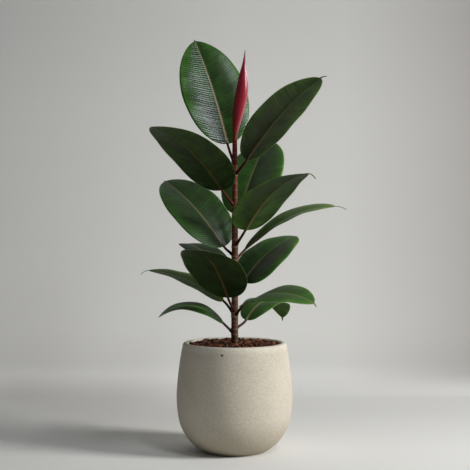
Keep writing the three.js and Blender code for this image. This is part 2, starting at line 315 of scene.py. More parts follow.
sand = add(tree, "ValToRGB", {"Fac": grain}, stops=[
    (0.32, "#a9a190"), (0.5, "#d8d2c3"), (0.7, "#f2eee4")])
clay = add(tree, "Mix", {0: 0.55, 6: clay, 7: sand}, out=2, data_type="RGBA")
# Painted shade: the pinholes and the pit are darker, as the shade in their hollows.
clay = add(tree, "Mix", {0: hole, 6: lin("#97907f"), 7: clay}, out=2, data_type="RGBA")
clay = add(tree, "Mix", {0: pit, 6: lin("#5e5749"), 7: clay}, out=2, data_type="RGBA")
height = add(tree, "SeparateXYZ", {"Vector": place}, out="Z")
height = add(tree, "MapRange", {"Value": height, "From Min": 0.0, "From Max": LIP[2][1] * MM})
# Painted shade darkens the foot towards the floor, and painted light brightens the top of the
# lip.
foot_shade_lip_light = add(tree, "ValToRGB", {"Fac": height}, stops=[
    (0.0, "#c4bfb4"), (0.35, "#ebe9e6"), (0.93, "#ebe9e6"), (0.99, "#ffffff")])
clay = add(tree, "Mix", {0: 1.0, 6: clay, 7: foot_shade_lip_light}, out=2, data_type="RGBA",
           blend_type="MULTIPLY")
relief = add(tree, "Math", {0: grain, 1: 0.65, 2: 0.0}, operation="MULTIPLY_ADD")
relief = add(tree, "Math", {0: hole, 1: 0.35, 2: relief}, operation="MULTIPLY_ADD")
bump = add(tree, "Bump", {"Height": relief, "Strength": 0.5, "Distance": 0.0006})
surface = add(tree, "BsdfPrincipled", {"Base Color": clay, "Roughness": 0.88,
                                       "Specular IOR Level": 0.35, "Normal": bump})
add(tree, "OutputMaterial", {"Surface": surface})
print("stoneware nodes", len(tree.nodes))

# %% [markdown]
# Each piece of the plant becomes one object that rides on the part's only body and stands
# for one solid. A grid may carry painted values behind its x, y and z, such as how far a
# point lies from a leaf's edge. They become attributes of the mesh, so that a material
# can draw a pattern that follows the surface. A UV map could carry two such values. Named
# attributes are used because a leaf needs eight, and they need no unwrapping.

# %% Pieces, and the pot
UPPER_FROM = 0.6


def piece(name, shells, material, node, values=(), under=None):
    """One object from one or more shells. Values names the painted channels. Faces whose
    painted upper value is low take the under material, if one is given."""
    points = np.vstack([part for part, _, _ in shells])
    first = np.cumsum([0] + [len(part) for part, _, _ in shells])
    quads = np.vstack([face + start for (_, face, _), start in zip(shells, first)])
    fans = np.vstack([face + start for (_, _, face), start in zip(shells, first)])
    mesh = bpy.data.meshes.new(name)
    mesh.from_pydata(points[:, :3].tolist(), [], quads.tolist() + fans.tolist())
    for channel, value in enumerate(values):
        layer = mesh.attributes.new(value, "FLOAT", "POINT")
        layer.data.foreach_set("value", points[:, 3 + channel].astype(np.float32))
    mesh.polygons.foreach_set("use_smooth", np.ones(len(mesh.polygons), bool))
    mesh.materials.append(material)
    if under:
        mesh.materials.append(under)
        upper = points[:, 3 + values.index("upper")]
        low = np.concatenate([upper[quads].mean(1), upper[fans].mean(1)]) < UPPER_FROM
        mesh.polygons.foreach_set("material_index", low.astype(np.int32))
    mesh.update()
    thing = bpy.data.objects.new(name, mesh)
    bpy.context.collection.objects.link(thing)
    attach(thing, "root")
    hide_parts(node)
    print(name, len(points), "points,", len(mesh.polygons), "faces")


piece("stoneware_pot", [shell(pot_grid)], stoneware, "pot")

# %% [markdown]
# ## Soil
# Potting mix is a dark loose blend of bark crumbs, fibre and peat. Its top is heaped
# unevenly and lies a few millimetres under the lip. A disc with a Displace modifier would
# look much the same. One closed surface is used, with its top worked out as a height over x
# and y, because the same formula then says how high each loose crumb lies.

# %% Soil body
SOIL_GAP, SOIL_FOOT = 0.6, POT_FLOOR + 0.5
EDGE_R = LIP[-1][0] - SOIL_GAP


def soil_height(x, y):
    """Height of the soil's top in millimetres: slow waves a few centimetres long and
    quick ones under a centimetre, fading at the pot's wall."""
    slow = np.sin(x / 17 + 1.3) * np.cos(y / 14 - 0.4) + 0.6 * np.sin((x + y) / 9.5 + 2)
    quick = (np.sin(x / 2.9 + 3 * np.sin(y / 7)) * np.sin(y / 2.3 + 2 * np.sin(x / 6))
             + 0.7 * np.sin(x / 1.7 - y / 2.1))
    calm = np.clip((EDGE_R - np.hypot(x, y)) / 9, 0, 1)
    return SOIL_TOP + 1.2 + (1.1 * slow + 0.7 * quick) * calm


top_r = np.linspace(EDGE_R, 2, 64)[:, None]
top_x, top_y = top_r * np.cos(TURN_ANGLE), top_r * np.sin(TURN_ANGLE)
top = np.stack([top_x, top_y, soil_height(top_x, top_y)], -1) * MM
side_z = np.append(SOIL_FOOT, INSIDE_Z[-2::-1])
side = [(2, SOIL_FOOT), (40, SOIL_FOOT)] + list(zip(inside_r[::-1] - 0.5, side_z))
body = np.vstack([revolve(side), top])
body = np.concatenate([body, np.full(body.shape[:2] + (1,), 0.5)], -1)
print("soil from", SOIL_FOOT, "to", round(float(top[..., 2].max() / MM), 1), "mm")

# %% [markdown]
# Loose crumbs lie on the soil, each of a seeded size, turn and tone. A crumb is a small
# ball of few faces, pushed out of round. Particles or Geometry Nodes could scatter them.
# Here all of them are worked out in one array, whose first axis counts the crumbs, because
# they can then join the soil's own mesh and come out the same on every run.

# %% Crumbs on the soil
CRUMBS, CRUMB_ROWS, CRUMB_TURNS = 1500, 4, 6
rng = np.random.default_rng(7)


def crumbs(count):
    """Balls of a few faces: a point at latitude p and longitude a lies at
    (cos p cos a, cos p sin a, sin p) times a size, squashed, turned and set on the soil."""
    r = EDGE_R * np.sqrt(rng.uniform(0.005, 0.97, count))
    round_ = rng.uniform(0, 2 * math.pi, count)
    x, y = r * np.cos(round_), r * np.sin(round_)
    size = np.minimum(rng.gamma(2.2, 0.75, count) + 1.0, 5.5)
    stretch = rng.uniform(0.55, 1.5, (count, 3)) * [1, 1, 0.6]
    p = np.linspace(-1.1, 1.1, CRUMB_ROWS)[:, None]
    a = np.arange(CRUMB_TURNS) / CRUMB_TURNS * 2 * math.pi
    ball = np.stack([np.cos(p) * np.cos(a), np.cos(p) * np.sin(a), np.sin(p) + 0 * a], -1)
    ball = ball[None] * (1 + rng.uniform(-0.22, 0.22, (count, CRUMB_ROWS, CRUMB_TURNS, 1)))
    bx, by, bz = np.moveaxis(ball * (size[:, None] * stretch)[:, None, None, :], -1, 0)
    lean, yaw = rng.uniform(-0.6, 0.6, count), rng.uniform(0, 2 * math.pi, count)
    c, s = (f(lean)[:, None, None] for f in (np.cos, np.sin))
    bx, bz = c * bx + s * bz, c * bz - s * bx
    c, s = (f(yaw)[:, None, None] for f in (np.cos, np.sin))
    bx, by = c * bx - s * by, s * bx + c * by
    z = soil_height(x, y) + 0.25 * size
    ball = np.stack([bx + x[:, None, None], by + y[:, None, None], bz + z[:, None, None]], -1)
    tone = np.broadcast_to(rng.uniform(0, 1, count)[:, None, None, None], ball.shape[:3] + (1,))
    return np.concatenate([ball * MM, tone], -1)


all_crumbs = crumbs(CRUMBS)
print(CRUMBS, "crumbs of", 2 * CRUMB_TURNS * CRUMB_ROWS, "triangles")

# %% [markdown]
# Dry bark mix is quite rough and its crumbs differ: near-black peat, red-brown bark and
# a few paler fibres. Each kind could have a material of its own. One ramp does for all,
# because it is read at each crumb's own painted tone, broken up by grains of about two
# millimetres.

# %% Bark and peat mix
SOIL_GRAIN_MM = 2.2
mix_soil, tree = new_material("crumbled_bark_and_peat_mix")
place = add(tree, "TexCoord", {}, out="Object")
tone = add(tree, "Attribute", {}, out="Fac", attribute_name="tone")
grain = add(tree, "TexNoise", {"Vector": place, "Scale": 1 / (SOIL_GRAIN_MM * MM),
                               "Detail": 4.0, "Roughness": 0.7})
mixed = add(tree, "Math", {0: grain, 1: 0.5}, operation="MULTIPLY")
mixed = add(tree, "Math", {0: tone, 1: 0.5, 2: mixed}, operation="MULTIPLY_ADD")
earth = add(tree, "ValToRGB", {"Fac": mixed}, stops=[
    (0.25, "#1a0c07"), (0.42, "#3f2013"), (0.6, "#643622"), (0.78, "#94634a")])
bump = add(tree, "Bump", {"Height": grain, "Strength": 0.8, "Distance": 0.0012})
surface = add(tree, "BsdfPrincipled", {"Base Color": earth, "Roughness": 0.85,
                                       "Specular IOR Level": 0.25, "Normal": bump})
add(tree, "OutputMaterial", {"Surface": surface})
piece("potting_mix", [shell(body)] + [shell(c) for c in all_crumbs], mix_soil,
      "soil", values=("tone",))

# %% [markdown]
# ## Leaf table
# Fourteen leaves stand round the trunk. Each could be shaped by hand. They are rows of one
# table instead, because the solids were made from the same rows, so both always agree. A
# row holds, in millimetres and degrees: the height of the leaf's node on the trunk, the
# blade's foot from there, heading, rise and roll, length and breadth, droop, sweep and
# twist, how far its halves fold up, where it is widest, how blunt its tip is, and the
# length and droop of its drawn-out tip.

# %% Leaf table
LEAVES = {
    "leaf_01": dict(node=538, stalk=(-14, 10, 43), way=(128, 70, -24), size=(228, 131),
                    bend=(5, 8, -1), fold=11, belly=0.47, point=0.68, drip=(4, 10)),
    "leaf_02": dict(node=520, stalk=(22.5, -24, 28), way=(-30, 53, -17), size=(210, 107),
                    bend=(25, 3, 2), fold=11, belly=0.47, point=0.60, drip=(14, 40)),
    "leaf_03": dict(node=460, stalk=(-24, -24, 31), way=(229, 45, 12), size=(212, 115),
                    bend=(35, -4, -8), fold=9, belly=0.41, point=0.60, drip=(10, 70)),
    "leaf_04": dict(node=432, stalk=(8, 45, 15), way=(63, 57, 6), size=(211, 122),
                    bend=(21, 0, 0), fold=2, belly=0.48, drip=(8, 10)),
    "leaf_05": dict(node=384, stalk=(20, -26, 32), way=(-56, 46, -5), size=(204, 105),
                    bend=(39, 4, 11), fold=11, belly=0.40, point=0.60, drip=(27, 60)),
    "leaf_06": dict(node=366, stalk=(-21, 11, 19), way=(151, 53, -34), size=(199, 112),
                    bend=(30, 3, -1), fold=10, belly=0.46, point=0.58, drip=(5, 20)),
    "leaf_07": dict(node=359, stalk=(19, 25, 19), way=(2, 47, -12), size=(199, 100),
                    bend=(50, -3, -1), fold=8, belly=0.48, drip=(24, 30)),
    "leaf_08": dict(node=318, stalk=(-16, 23, 0), way=(142, 52, -10), size=(140, 88),
                    bend=(48, -8, 2), fold=9, belly=0.46, point=0.30, drip=(4, 0)),
    "leaf_09": dict(node=310, stalk=(16, 28, 6), way=(37, 48, 18), size=(169, 96),
                    bend=(37, -4, -2), fold=6, belly=0.38, point=0.58, drip=(5, 20)),
    "leaf_10": dict(node=259, stalk=(-13, -30, 31), way=(250, 48, 1), size=(190, 113),
                    bend=(42, 1, -5), fold=3, belly=0.46, point=0.50, drip=(5, 20)),
    "leaf_11": dict(node=255, stalk=(-23, 8, 27), way=(179, 37, 28), size=(154, 74),
                    bend=(36, 0, -12), fold=7, belly=0.44, drip=(19, 60)),
    "leaf_12": dict(node=252, stalk=(16, -25, 22.5), way=(-45, 29, 14), size=(164, 95),
                    bend=(60, 1, 7), fold=7, belly=0.45, point=0.66, drip=(9, 60)),
    "leaf_13": dict(node=228, stalk=(22, 31, 15), way=(39, 50, 14), size=(149, 76),
                    bend=(122, 8, -4), fold=6, belly=0.46, point=0.75, drip=(8, 0)),
    "leaf_14": dict(node=218, stalk=(-22, -5, 22), way=(180, 45, -8), size=(138, 72),
                    bend=(92, 3, -6), fold=5, belly=0.45, drip=(3, 10)),
}
print(len(LEAVES), "leaves")

# %% [markdown]
# ## Trunk
# The trunk is young wood, straight and slim, a little thinner towards the top, with a
# raised ring where each leaf and its sheath sat, and fainter rings between. A cylinder with
# loop cuts could be scaled ring by ring. Here the surface is a radius over height and turn,
# because every ring and flute is then one more term in a sum.

# %% Trunk surface
TRUNK_X = 0.6
TRUNK_R = [(125, 6.4), (205, 6.4), (300, 6.2), (420, 5.8), (520, 5.1), (587, 4.6)]
TRUNK_SIDES, TRUNK_ROWS = 40, 462
RING_MM, OLD_RING_MM, KNEE_MM = 0.55, 0.3, 0.3
NODES = np.array([leaf["node"] for leaf in LEAVES.values()])
OLD_NODES = np.array([206, 236, 243, 272, 285, 297, 334, 345, 398, 412, 446, 478, 492, 505,
                      551, 562, 572, 580])


def ring_at(z, places, half):
    """How near z is to the nearest place, from 0 to 1: exp(-((z - place) / half) ** 2)."""
    return np.exp(-((z - places) / half) ** 2).max(1, keepdims=True)


def with_values(grid, *values):
    """Put painted values behind each grid point's x, y and z, and turn it to metres."""
    layers = [np.broadcast_to(v, grid.shape[:2])[..., None] for v in values]
    return np.concatenate([grid * MM] + layers, -1)


z = np.linspace(TRUNK_R[0][0], TRUNK_R[-1][0], TRUNK_ROWS)[:, None]
a = np.arange(TRUNK_SIDES) / TRUNK_SIDES * 2 * math.pi
ring, old, knee = ring_at(z, NODES, 1.5), ring_at(z, OLD_NODES, 0.9), ring_at(z, NODES, 7)
flute = 0.10 * np.sin(3 * a + z / 40) + 0.08 * np.sin(7 * a - z / 25)
r = np.interp(z, *np.array(TRUNK_R).T)
r = r + RING_MM * ring + OLD_RING_MM * old + KNEE_MM * knee + flute
lean = 0.25 * np.sin(z / 55)
trunk_grid = np.stack([TRUNK_X + lean + r * np.cos(a), r * np.sin(a), z + 0 * a], -1)
trunk_shell = shell(with_values(trunk_grid, 0.0, np.maximum(ring, 0.7 * old)))
print("trunk", z[-1, 0] - z[0, 0], "mm long")

# %% [markdown]
# ## Stalks
# Each leaf stalk grows out of the trunk and bends into its leaf. A round section is
# carried along a cubic curve that leaves the trunk straight towards the blade's foot and
# arrives along the blade's own heading. A slight swelling sits where the stalk starts. A
# curve object with a bevel gives the same tube. The curve is worked out here instead, so
# that stalks and trunk are one mesh, as they are one growth, with painted values on it.

# %% Stalk surfaces
STALK_R = (2.7, 2.3)
STALK_SIDES, STALK_ROWS, STALK_SINK = 18, 26, 0.6
SWELL_MM, SWELL_AT, SWELL_HALF = 0.9, 7, 4
OUT_PULL, BACK_PULL = 0.4, 0.3
SIDE_GUIDE = (0.3, 0.9, 0.31)  # a direction that no stalk takes, to find its sides from


def unit(v):
    """A vector, or rows of vectors, scaled to length one."""
    return v / np.linalg.norm(v, axis=-1, keepdims=True)


def turned(v, axis, angle):
    """v turned about a unit axis: v cos a + (axis x v) sin a + axis (axis . v)(1 - cos a)."""
    return (v * math.cos(angle) + np.cross(axis, v) * math.sin(angle)
            + axis * np.dot(axis, v) * (1 - math.cos(angle)))


def heading(leaf):
    """A blade's direction at its foot and the way its upper side faces, from its heading
    round the trunk, its rise above level and its roll."""
    round_, rise, roll = np.radians(leaf["way"])
    flat = np.array([math.cos(round_), math.sin(round_), 0])
    along = flat * math.cos(rise) + [0, 0, math.sin(rise)]
    up = -flat * math.sin(rise) + [0, 0, math.cos(rise)]
    return along, turned(up, along, roll)


def stalk(leaf):
    """Cubic curve with a round section: centre + radius (side cos a + up sin a), where
    side and up are square to the curve's direction."""
    arrive, _ = heading(leaf)
    root = np.array([TRUNK_X, 0, leaf["node"]], float)
    end = root + leaf["stalk"] + arrive * STALK_SINK
    reach = np.linalg.norm(end - root)
    out = root + unit(end - root) * OUT_PULL * reach
    back = end - arrive * BACK_PULL * reach
    t = np.linspace(0, 1, STALK_ROWS)[:, None]
    line = (1 - t)**3 * root + 3 * (1 - t)**2 * t * out + 3 * (1 - t) * t**2 * back + t**3 * end
    swell = SWELL_MM * np.exp(-((t * reach - SWELL_AT) / SWELL_HALF)**2)
    radius = STALK_R[0] + (STALK_R[1] - STALK_R[0]) * t + swell
    along = unit(np.gradient(line, axis=0))
    side = unit(np.cross(np.broadcast_to(SIDE_GUIDE, along.shape), along))
    a = (np.arange(STALK_SIDES) / STALK_SIDES * 2 * math.pi)[:, None]
    ring = side[:, None] * np.cos(a) + np.cross(along, side)[:, None] * np.sin(a)
    return with_values(line[:, None] + ring * radius[..., None], 1.0, 0.0)


stalks = [shell(stalk(leaf)) for leaf in LEAVES.values()]
print(len(stalks), "stalks")

# %% [markdown]
# Young bark is smooth and thin. It is grey-brown low down, where it is oldest, and turns
# red-brown towards the growing tip. Faint upright cracks and paler ring scars break it up.
# The stalks keep the dark red of fresh growth and are a little glossy. Cracks could be
# cut into the mesh, but they are far under a millimetre deep, so noise stretched eight times
# along the trunk gives them, as colour and as bump.

# %% Young bark
CRACK_MM, OLD_WOOD_M, YOUNG_WOOD_M = 2.5, 0.2, 0.6
bark, tree = new_material("smooth_young_bark")
place = add(tree, "TexCoord", {}, out="Object")
is_stalk = add(tree, "Attribute", {}, out="Fac", attribute_name="stalk")
scar = add(tree, "Attribute", {}, out="Fac", attribute_name="scar")
height = add(tree, "SeparateXYZ", {"Vector": place}, out="Z")
height = add(tree, "MapRange", {"Value": height, "From Min": OLD_WOOD_M,
                                "From Max": YOUNG_WOOD_M})
wood = add(tree, "ValToRGB", {"Fac": height}, stops=[
    (0.0, "#6f5543"), (0.4, "#714d39"), (0.75, "#7e452f"), (1.0, "#984128")])
tall = add(tree, "Mapping", {"Vector": place, "Scale": (1.0, 1.0, 0.12)})
crack = add(tree, "TexNoise", {"Vector": tall, "Scale": 1 / (CRACK_MM * MM), "Detail": 4.0,
                               "Roughness": 0.65})
shade = add(tree, "ValToRGB", {"Fac": crack}, stops=[
    (0.3, "#2a1e18"), (0.5, "#64432f"), (0.72, "#a8826a")])
wood = add(tree, "Mix", {0: 0.55, 6: wood, 7: shade}, out=2, data_type="RGBA",
           blend_type="OVERLAY")
scar = add(tree, "Math", {0: scar, 1: 0.5}, operation="MULTIPLY")
wood = add(tree, "Mix", {0: scar, 6: wood, 7: lin("#a08470")}, out=2, data_type="RGBA")
fresh = add(tree, "ValToRGB", {"Fac": height}, stops=[
    (0.0, "#3c2219"), (0.5, "#46231b"), (1.0, "#5c251f")])
wood = add(tree, "Mix", {0: is_stalk, 6: wood, 7: fresh}, out=2, data_type="RGBA")
rough = add(tree, "MapRange", {"Value": is_stalk, "To Min": 0.62, "To Max": 0.36})
bump = add(tree, "Bump", {"Height": crack, "Strength": 0.35, "Distance": 0.0006})
surface = add(tree, "BsdfPrincipled", {"Base Color": wood, "Roughness": rough,
                                       "Specular IOR Level": 0.2, "Normal": bump})
add(tree, "OutputMaterial", {"Surface": surface})
piece("trunk_and_stalks", [trunk_shell] + stalks, bark, "stem",
      values=("stalk", "scar"))

# %% [markdown]
# ## Bud sheath
# The closed sheath is one thin red leaf wrapped round the next. It is a spindle that leans
# a little to the right and ends in a fine point. Where its two edges meet, one laps over
# the other and leaves a step that runs up the right side. A rolled sheet would be true to
# that, but nobody sees inside it. So a round section is carried up the spindle, and its
# radius grows by the lap's thickness on one side of the seam.

# %% Bud sheath surface
SHEATH_FOOT = 587.3
SHEATH = [(0, 4.4, 0), (10, 5, 0.6), (28, 7.5, 2.7), (42, 9.2, 4.6), (55, 10.4, 6.6),
          (70, 11, 9.3), (85, 11.1, 12), (99, 10.3, 13.9), (113, 8.8, 15), (126, 6.7, 15.8),
          (147, 3, 17.7), (171, 0.6, 19.6)]
SHEATH_SIDES, LAP_MM = 72, 1.3
height, radius, leans = np.split(smooth_line(SHEATH, 130), 3, axis=1)
rise = height / SHEATH[-1][0]
a = np.arange(SHEATH_SIDES) / SHEATH_SIDES * 2 * math.pi
seam = np.radians(-62 + 46 * np.sin(math.pi * (rise * 1.25 - 0.15)))
past = np.mod(a - seam, 2 * math.pi) / (2 * math.pi)
step = np.exp(-past * 9) - np.exp(-past * 90) - 0.35 * np.exp(-(1 - past) * 40)
flat = 0.06 * radius * np.cos(2 * (a - seam))
r = radius + LAP_MM * np.minimum(radius / 11, 1) * step + flat
sheath_grid = np.stack([TRUNK_X + leans + r * np.cos(a), 0.92 * r * np.sin(a),
                        SHEATH_FOOT + height + 0 * a], -1)
by_seam = np.exp(-past * 14) + np.exp(-(1 - past) * 60)
sheath_shell = shell(with_values(sheath_grid, by_seam))
print("sheath", SHEATH[-1][0], "mm tall,", round(float(r.max()), 1), "mm at its widest")

# %% [markdown]
# The sheath's skin is waxy and crimson, darker at the thin tip and browner at its foot,
# with fine parallel lines along it. It shines like the leaves, so a long highlight marks
# the lapped edge. The lines are noise stretched twenty times along it, as on the bark, and
# the pale edge is drawn from a painted value, because it follows the seam and no axis.

# %% Waxy red sheath skin
LINE_MM, SKIN_FOOT_M, SKIN_TIP_M = 1.6, 0.587, 0.758
red, tree = new_material("waxy_crimson_sheath")
place = add(tree, "TexCoord", {}, out="Object")
height = add(tree, "SeparateXYZ", {"Vector": place}, out="Z")
height = add(tree, "MapRange", {"Value": height, "From Min": SKIN_FOOT_M,
                                "From Max": SKIN_TIP_M})
skin = add(tree, "ValToRGB", {"Fac": height}, stops=[
    (0.0, "#8f4230"), (0.1, "#a0353c"), (0.5, "#9c2a39"), (0.85, "#94293f"), (1.0, "#7a3046")])
tall = add(tree, "Mapping", {"Vector": place, "Scale": (1.0, 1.0, 0.05)})
line = add(tree, "TexNoise", {"Vector": tall, "Scale": 1 / (LINE_MM * MM), "Detail": 3.0})
shade = add(tree, "ValToRGB", {"Fac": line}, stops=[(0.3, "#5e1526"), (0.7, "#d0707c")])
skin = add(tree, "Mix", {0: 0.35, 6: skin, 7: shade}, out=2, data_type="RGBA",
           blend_type="OVERLAY")
edge = add(tree, "Attribute", {}, out="Fac", attribute_name="lap")
edge = add(tree, "Math", {0: edge, 1: 0.6}, operation="MULTIPLY")
skin = add(tree, "Mix", {0: edge, 6: skin, 7: lin("#d28a90")}, out=2, data_type="RGBA")
bump = add(tree, "Bump", {"Height": line, "Strength": 0.3, "Distance": 0.0005})
surface = add(tree, "BsdfPrincipled", {"Base Color": skin, "Roughness": 0.28, "Normal": bump})
add(tree, "OutputMaterial", {"Surface": surface})
piece("red_bud_sheath", [sheath_shell], red, "bud_sheath", values=("lap",))

# %% [markdown]
# ## Leaf blades
# A leaf of this plant is a thick oval blade with a short drawn-out tip. Its halves fold up
# slightly from the midrib, curl back towards the edge and droop together along the blade.
# A flat leaf could be bent by modifiers. Here the midrib's line is walked in small steps
# that turn a little each, and every step carries one closed section of the blade, because
# three angles then set the droop, sweep and twist of each leaf, and no thickness is lost.

# %% Midrib of a blade
OVAL, BEND_POWER, CUP = 0.55, 1.3, 0.1
TIP_HALF, DRIP_END, RIB_TIP = 2.4, 0.7, 0.9
ROWS, DRIP_ROWS = 84, 8


def half_width(leaf, t):
    """Half the blade's breadth: (4 q (1 - q)) to a power, with q the share of the length,
    shifted so that the widest place is at the leaf's belly."""
    q = t ** (math.log(0.5) / math.log(leaf["belly"]))
    foot = STALK_R[1] + (TIP_HALF - STALK_R[1]) * t
    power = OVAL + (leaf.get("point", OVAL) - OVAL) * t
    return foot + (leaf["size"][1] / 2 - foot) * np.clip(4 * q * (1 - q), 0, 1) ** power


def midrib(leaf):
    """The midrib's stations: place, heading, upper side, half width, distance from the
    foot and share of the length. Each station is the one before, turned by its share of
    the droop, the sweep and the twist."""
    droop, sweep, twist = np.radians(leaf["bend"])
    drip, hang = leaf["drip"]
    along, up = heading(leaf)
    place = np.array([TRUNK_X, 0, leaf["node"]], float) + leaf["stalk"]
    t = (1 - np.cos(math.pi * np.arange(ROWS + 1) / ROWS)) / 2
    steps = np.stack([leaf["size"][0] * np.diff(t), droop * np.diff(t**BEND_POWER),
                      sweep * np.diff(t), twist * np.diff(t)], -1)
    last = np.tile([drip / DRIP_ROWS, math.radians(hang) / DRIP_ROWS, 0, 0], (DRIP_ROWS, 1))
    stations = [(place, along, up)]
    for length, turn, swing, spin in np.vstack([steps, last]):
        across = unit(np.cross(up, along))
        ahead, up = turned(along, across, turn), turned(up, across, turn)
        ahead = turned(ahead, up, swing)
        up = turned(up, ahead, spin)
        place = place + unit(along + ahead) * length
        along = ahead
        stations.append((place, along, up))
    place, along, up = (np.array(part) for part in zip(*stations))
    past = np.linspace(0, 1, DRIP_ROWS + 1)[1:]
    half = np.append(half_width(leaf, t), TIP_HALF + (DRIP_END - TIP_HALF) * past)
    run = np.append(leaf["size"][0] * t, leaf["size"][0] + drip * past)
    return place, along, up, half, run, np.append(t, np.ones(DRIP_ROWS))


print("leaf_01 is widest by", round(float(half_width(LEAVES["leaf_01"], 0.45)), 1), "mm")

# %% [markdown]
# A section has an upper and a lower sheet, which meet in a rounded edge. The columns lie
# closer by the midrib, which is a shallow groove on the upper side and a rounded ridge on
# the lower one. At the foot the section closes to the stalk's round end. A single sheet
# with Solidify would be quicker, but its two sides would be alike, and these are not.

# %% Section of a blade
COLUMNS = 25
BLADE_T, MARGIN_T = 1.0, 0.6
GROOVE, RIDGE, RIPPLE_MM, FOOT_MM = 0.35, 1.35, 0.9, 7
SOFT, CROWD, EDGE_POWER = 6.0, 1.45, 40
k = np.linspace(1, -1, 2 * COLUMNS + 1)
spread = np.sign(k) * np.abs(k) ** CROWD
SHARE = np.concatenate([spread, spread[-2:0:-1]])
UPPER = np.concatenate([np.ones(len(k)), np.zeros(len(k) - 2)])


def section(leaf, half, run, t, number):
    """Per station: v, how far each point lies from the midrib, its lift above it,
    |v| sin(fold) - cup v^2 / half and a seeded ripple by the edge, the slope of that
    curve, and half the thickness on the point's own side."""
    v = half * SHARE
    fold = math.radians(leaf["fold"])
    rng = np.random.default_rng(100 + number)
    beat, phase = rng.uniform(1.6, 3.2, 2), rng.uniform(0, 2 * math.pi, 2)
    swing = np.where(v > 0, np.sin(2 * math.pi * beat[0] * t + phase[0]),
                     np.sin(2 * math.pi * beat[1] * t + phase[1]))
    ripple = RIPPLE_MM * swing * np.abs(SHARE)**2.5 * np.sin(math.pi * t)
    soft = np.sqrt(v**2 + SOFT) - math.sqrt(SOFT)
    lift = soft * math.sin(fold) - CUP * v**2 / half + ripple
    slope = np.arctan(np.sign(v) * math.sin(fold) - 2 * CUP * v / half)
    rib = STALK_R[1] + (RIB_TIP - STALK_R[1]) * t
    ridge = np.exp(-(v / (1.25 * rib))**2) * np.clip((1 - t) * 1.4, 0.25, 1)
    web = (BLADE_T + (MARGIN_T - BLADE_T) * np.abs(SHARE)) / 2
    web = web * np.sqrt(np.clip(1 - np.abs(SHARE)**EDGE_POWER, 0, 1))
    thick = web + np.where(UPPER > 0, -GROOVE, RIDGE) * ridge
    foot = np.exp(-(run / FOOT_MM)**2)
    thick = thick * (1 - foot) + foot * np.sqrt(np.clip(rib**2 - v**2, 0, None))
    return v, lift, slope, np.where(UPPER > 0, thick, -thick), rib


print("columns in a section", len(SHARE))

# %% [markdown]
# The blades differ in colour. Old leaves in the shade are nearly black-green and low ones in the
# light fresh green, and their painted tint holds that green together with painted shade and
# painted light. Several are painted paler along one edge, for light shining through the thin
# margin, and some halves carry painted light and shade of their own. Some carry a painted grey
# sheen on the middle of a half, a reflection of the grey room. Each could have a material of its
# own. The next table holds those looks as numbers, to be painted on the blades, so that a few
# materials do for all.

# %% Looks of each leaf
# tint_and_shade: green at the foot and at the tip, 0 the deepest and 1 the palest, holding the
# leaf's own green with painted shade and light. half: the painted light and shade that each half
# adds to it. edge_light: how much paler each edge is painted, for light through the margin.
# grey_sheen: how grey the middle of each half is painted, for a reflection of the room. rough:
# roughness of the wax. rib: strength of the midrib.
LOOK_COLUMNS = ("tint_and_shade", "half", "edge_light", "grey_sheen", "rough", "rib")
LOOK_ROWS = {
    "leaf_01": ((0.34, 0.34), (0.00, 0.00), (0.30, 0.20), (0.0, 0.2), 0.21, 1.0),
    "leaf_02": ((-0.06, 0.30), (0.00, 0.00), (0.30, 0.30), (0.1, 0.3), 0.50, 0.3),
    "leaf_03": ((0.24, 0.24), (0.10, 0.00), (0.05, 0.10), (0.3, 0.1), 0.45, 0.5),
    "leaf_04": ((0.32, 0.32), (0.18, -0.12), (0.05, 0.50), (0.0, 0.4), 0.50, 0.5),
    "leaf_05": ((0.44, 0.20), (0.00, 0.00), (0.00, 0.20), (0.0, 0.3), 0.50, 0.7),
    "leaf_06": ((0.30, 0.24), (0.00, 0.00), (0.35, 0.10), (0.2, 0.2), 0.33, 0.5),
    "leaf_07": ((-0.10, 0.90), (0.00, 0.00), (0.20, 0.20), (0.0, 0.0), 0.50, 0.4),
    "leaf_08": ((0.20, 0.20), (0.00, 0.00), (0.10, 0.10), (0.0, 0.0), 0.60, 0.5),
    "leaf_09": ((0.12, 0.52), (0.08, -0.06), (0.05, 0.45), (0.0, 0.8), 0.55, 0.4),
    "leaf_10": ((0.10, 0.12), (0.00, 0.00), (0.12, 0.20), (0.1, 0.1), 0.45, 0.5),
    "leaf_11": ((0.82, 0.46), (0.00, 0.00), (0.60, 0.00), (0.6, 0.6), 0.55, 0.4),
    "leaf_12": ((0.50, 0.60), (0.00, 0.00), (0.15, 0.15), (0.5, 0.5), 0.55, 0.9),
    "leaf_13": ((0.56, 0.52), (0.00, 0.00), (0.15, 0.15), (0.2, 0.2), 0.55, 0.9),
    "leaf_14": ((0.34, 0.66), (0.00, 0.00), (0.10, 0.10), (0.0, 0.0), 0.62, 0.3),
}
LOOKS = {name: dict(zip(LOOK_COLUMNS, row)) for name, row in LOOK_ROWS.items()}
print("deepest leaf", min(LOOKS, key=lambda name: sum(LOOKS[name]["tint_and_shade"])))

# %% [markdown]
# Side veins leave the midrib almost at a right angle and bend a little towards the tip.
# Each point gets painted the distance along the midrib at which its own vein starts, so a line of
# equal value is one vein. It is also painted its distance to the midrib and to the edge, its tint
# with painted light and shade, its painted grey sheen and the roughness of its wax. A drawn
# texture could show the veins, but it would stretch with the blade, while painted millimetres
# keep them evenly spaced on a small leaf and on a large one.

# %% Blade surface with its painted values
VEIN_SLOPE, VEIN_CURVE, LEAF_APART_MM = 0.20, 0.0035, 500
EDGE_FADE, RIB_FADE_UPPER, RIB_FADE_UNDER, PAST_RIM_MM = 2.2, 0.35, 0.8, 9
LEAF_VALUES = ("vein_mm", "across_mm", "edge_mm", "upper", "tint_and_shade", "grey_sheen", "rib", "wax")


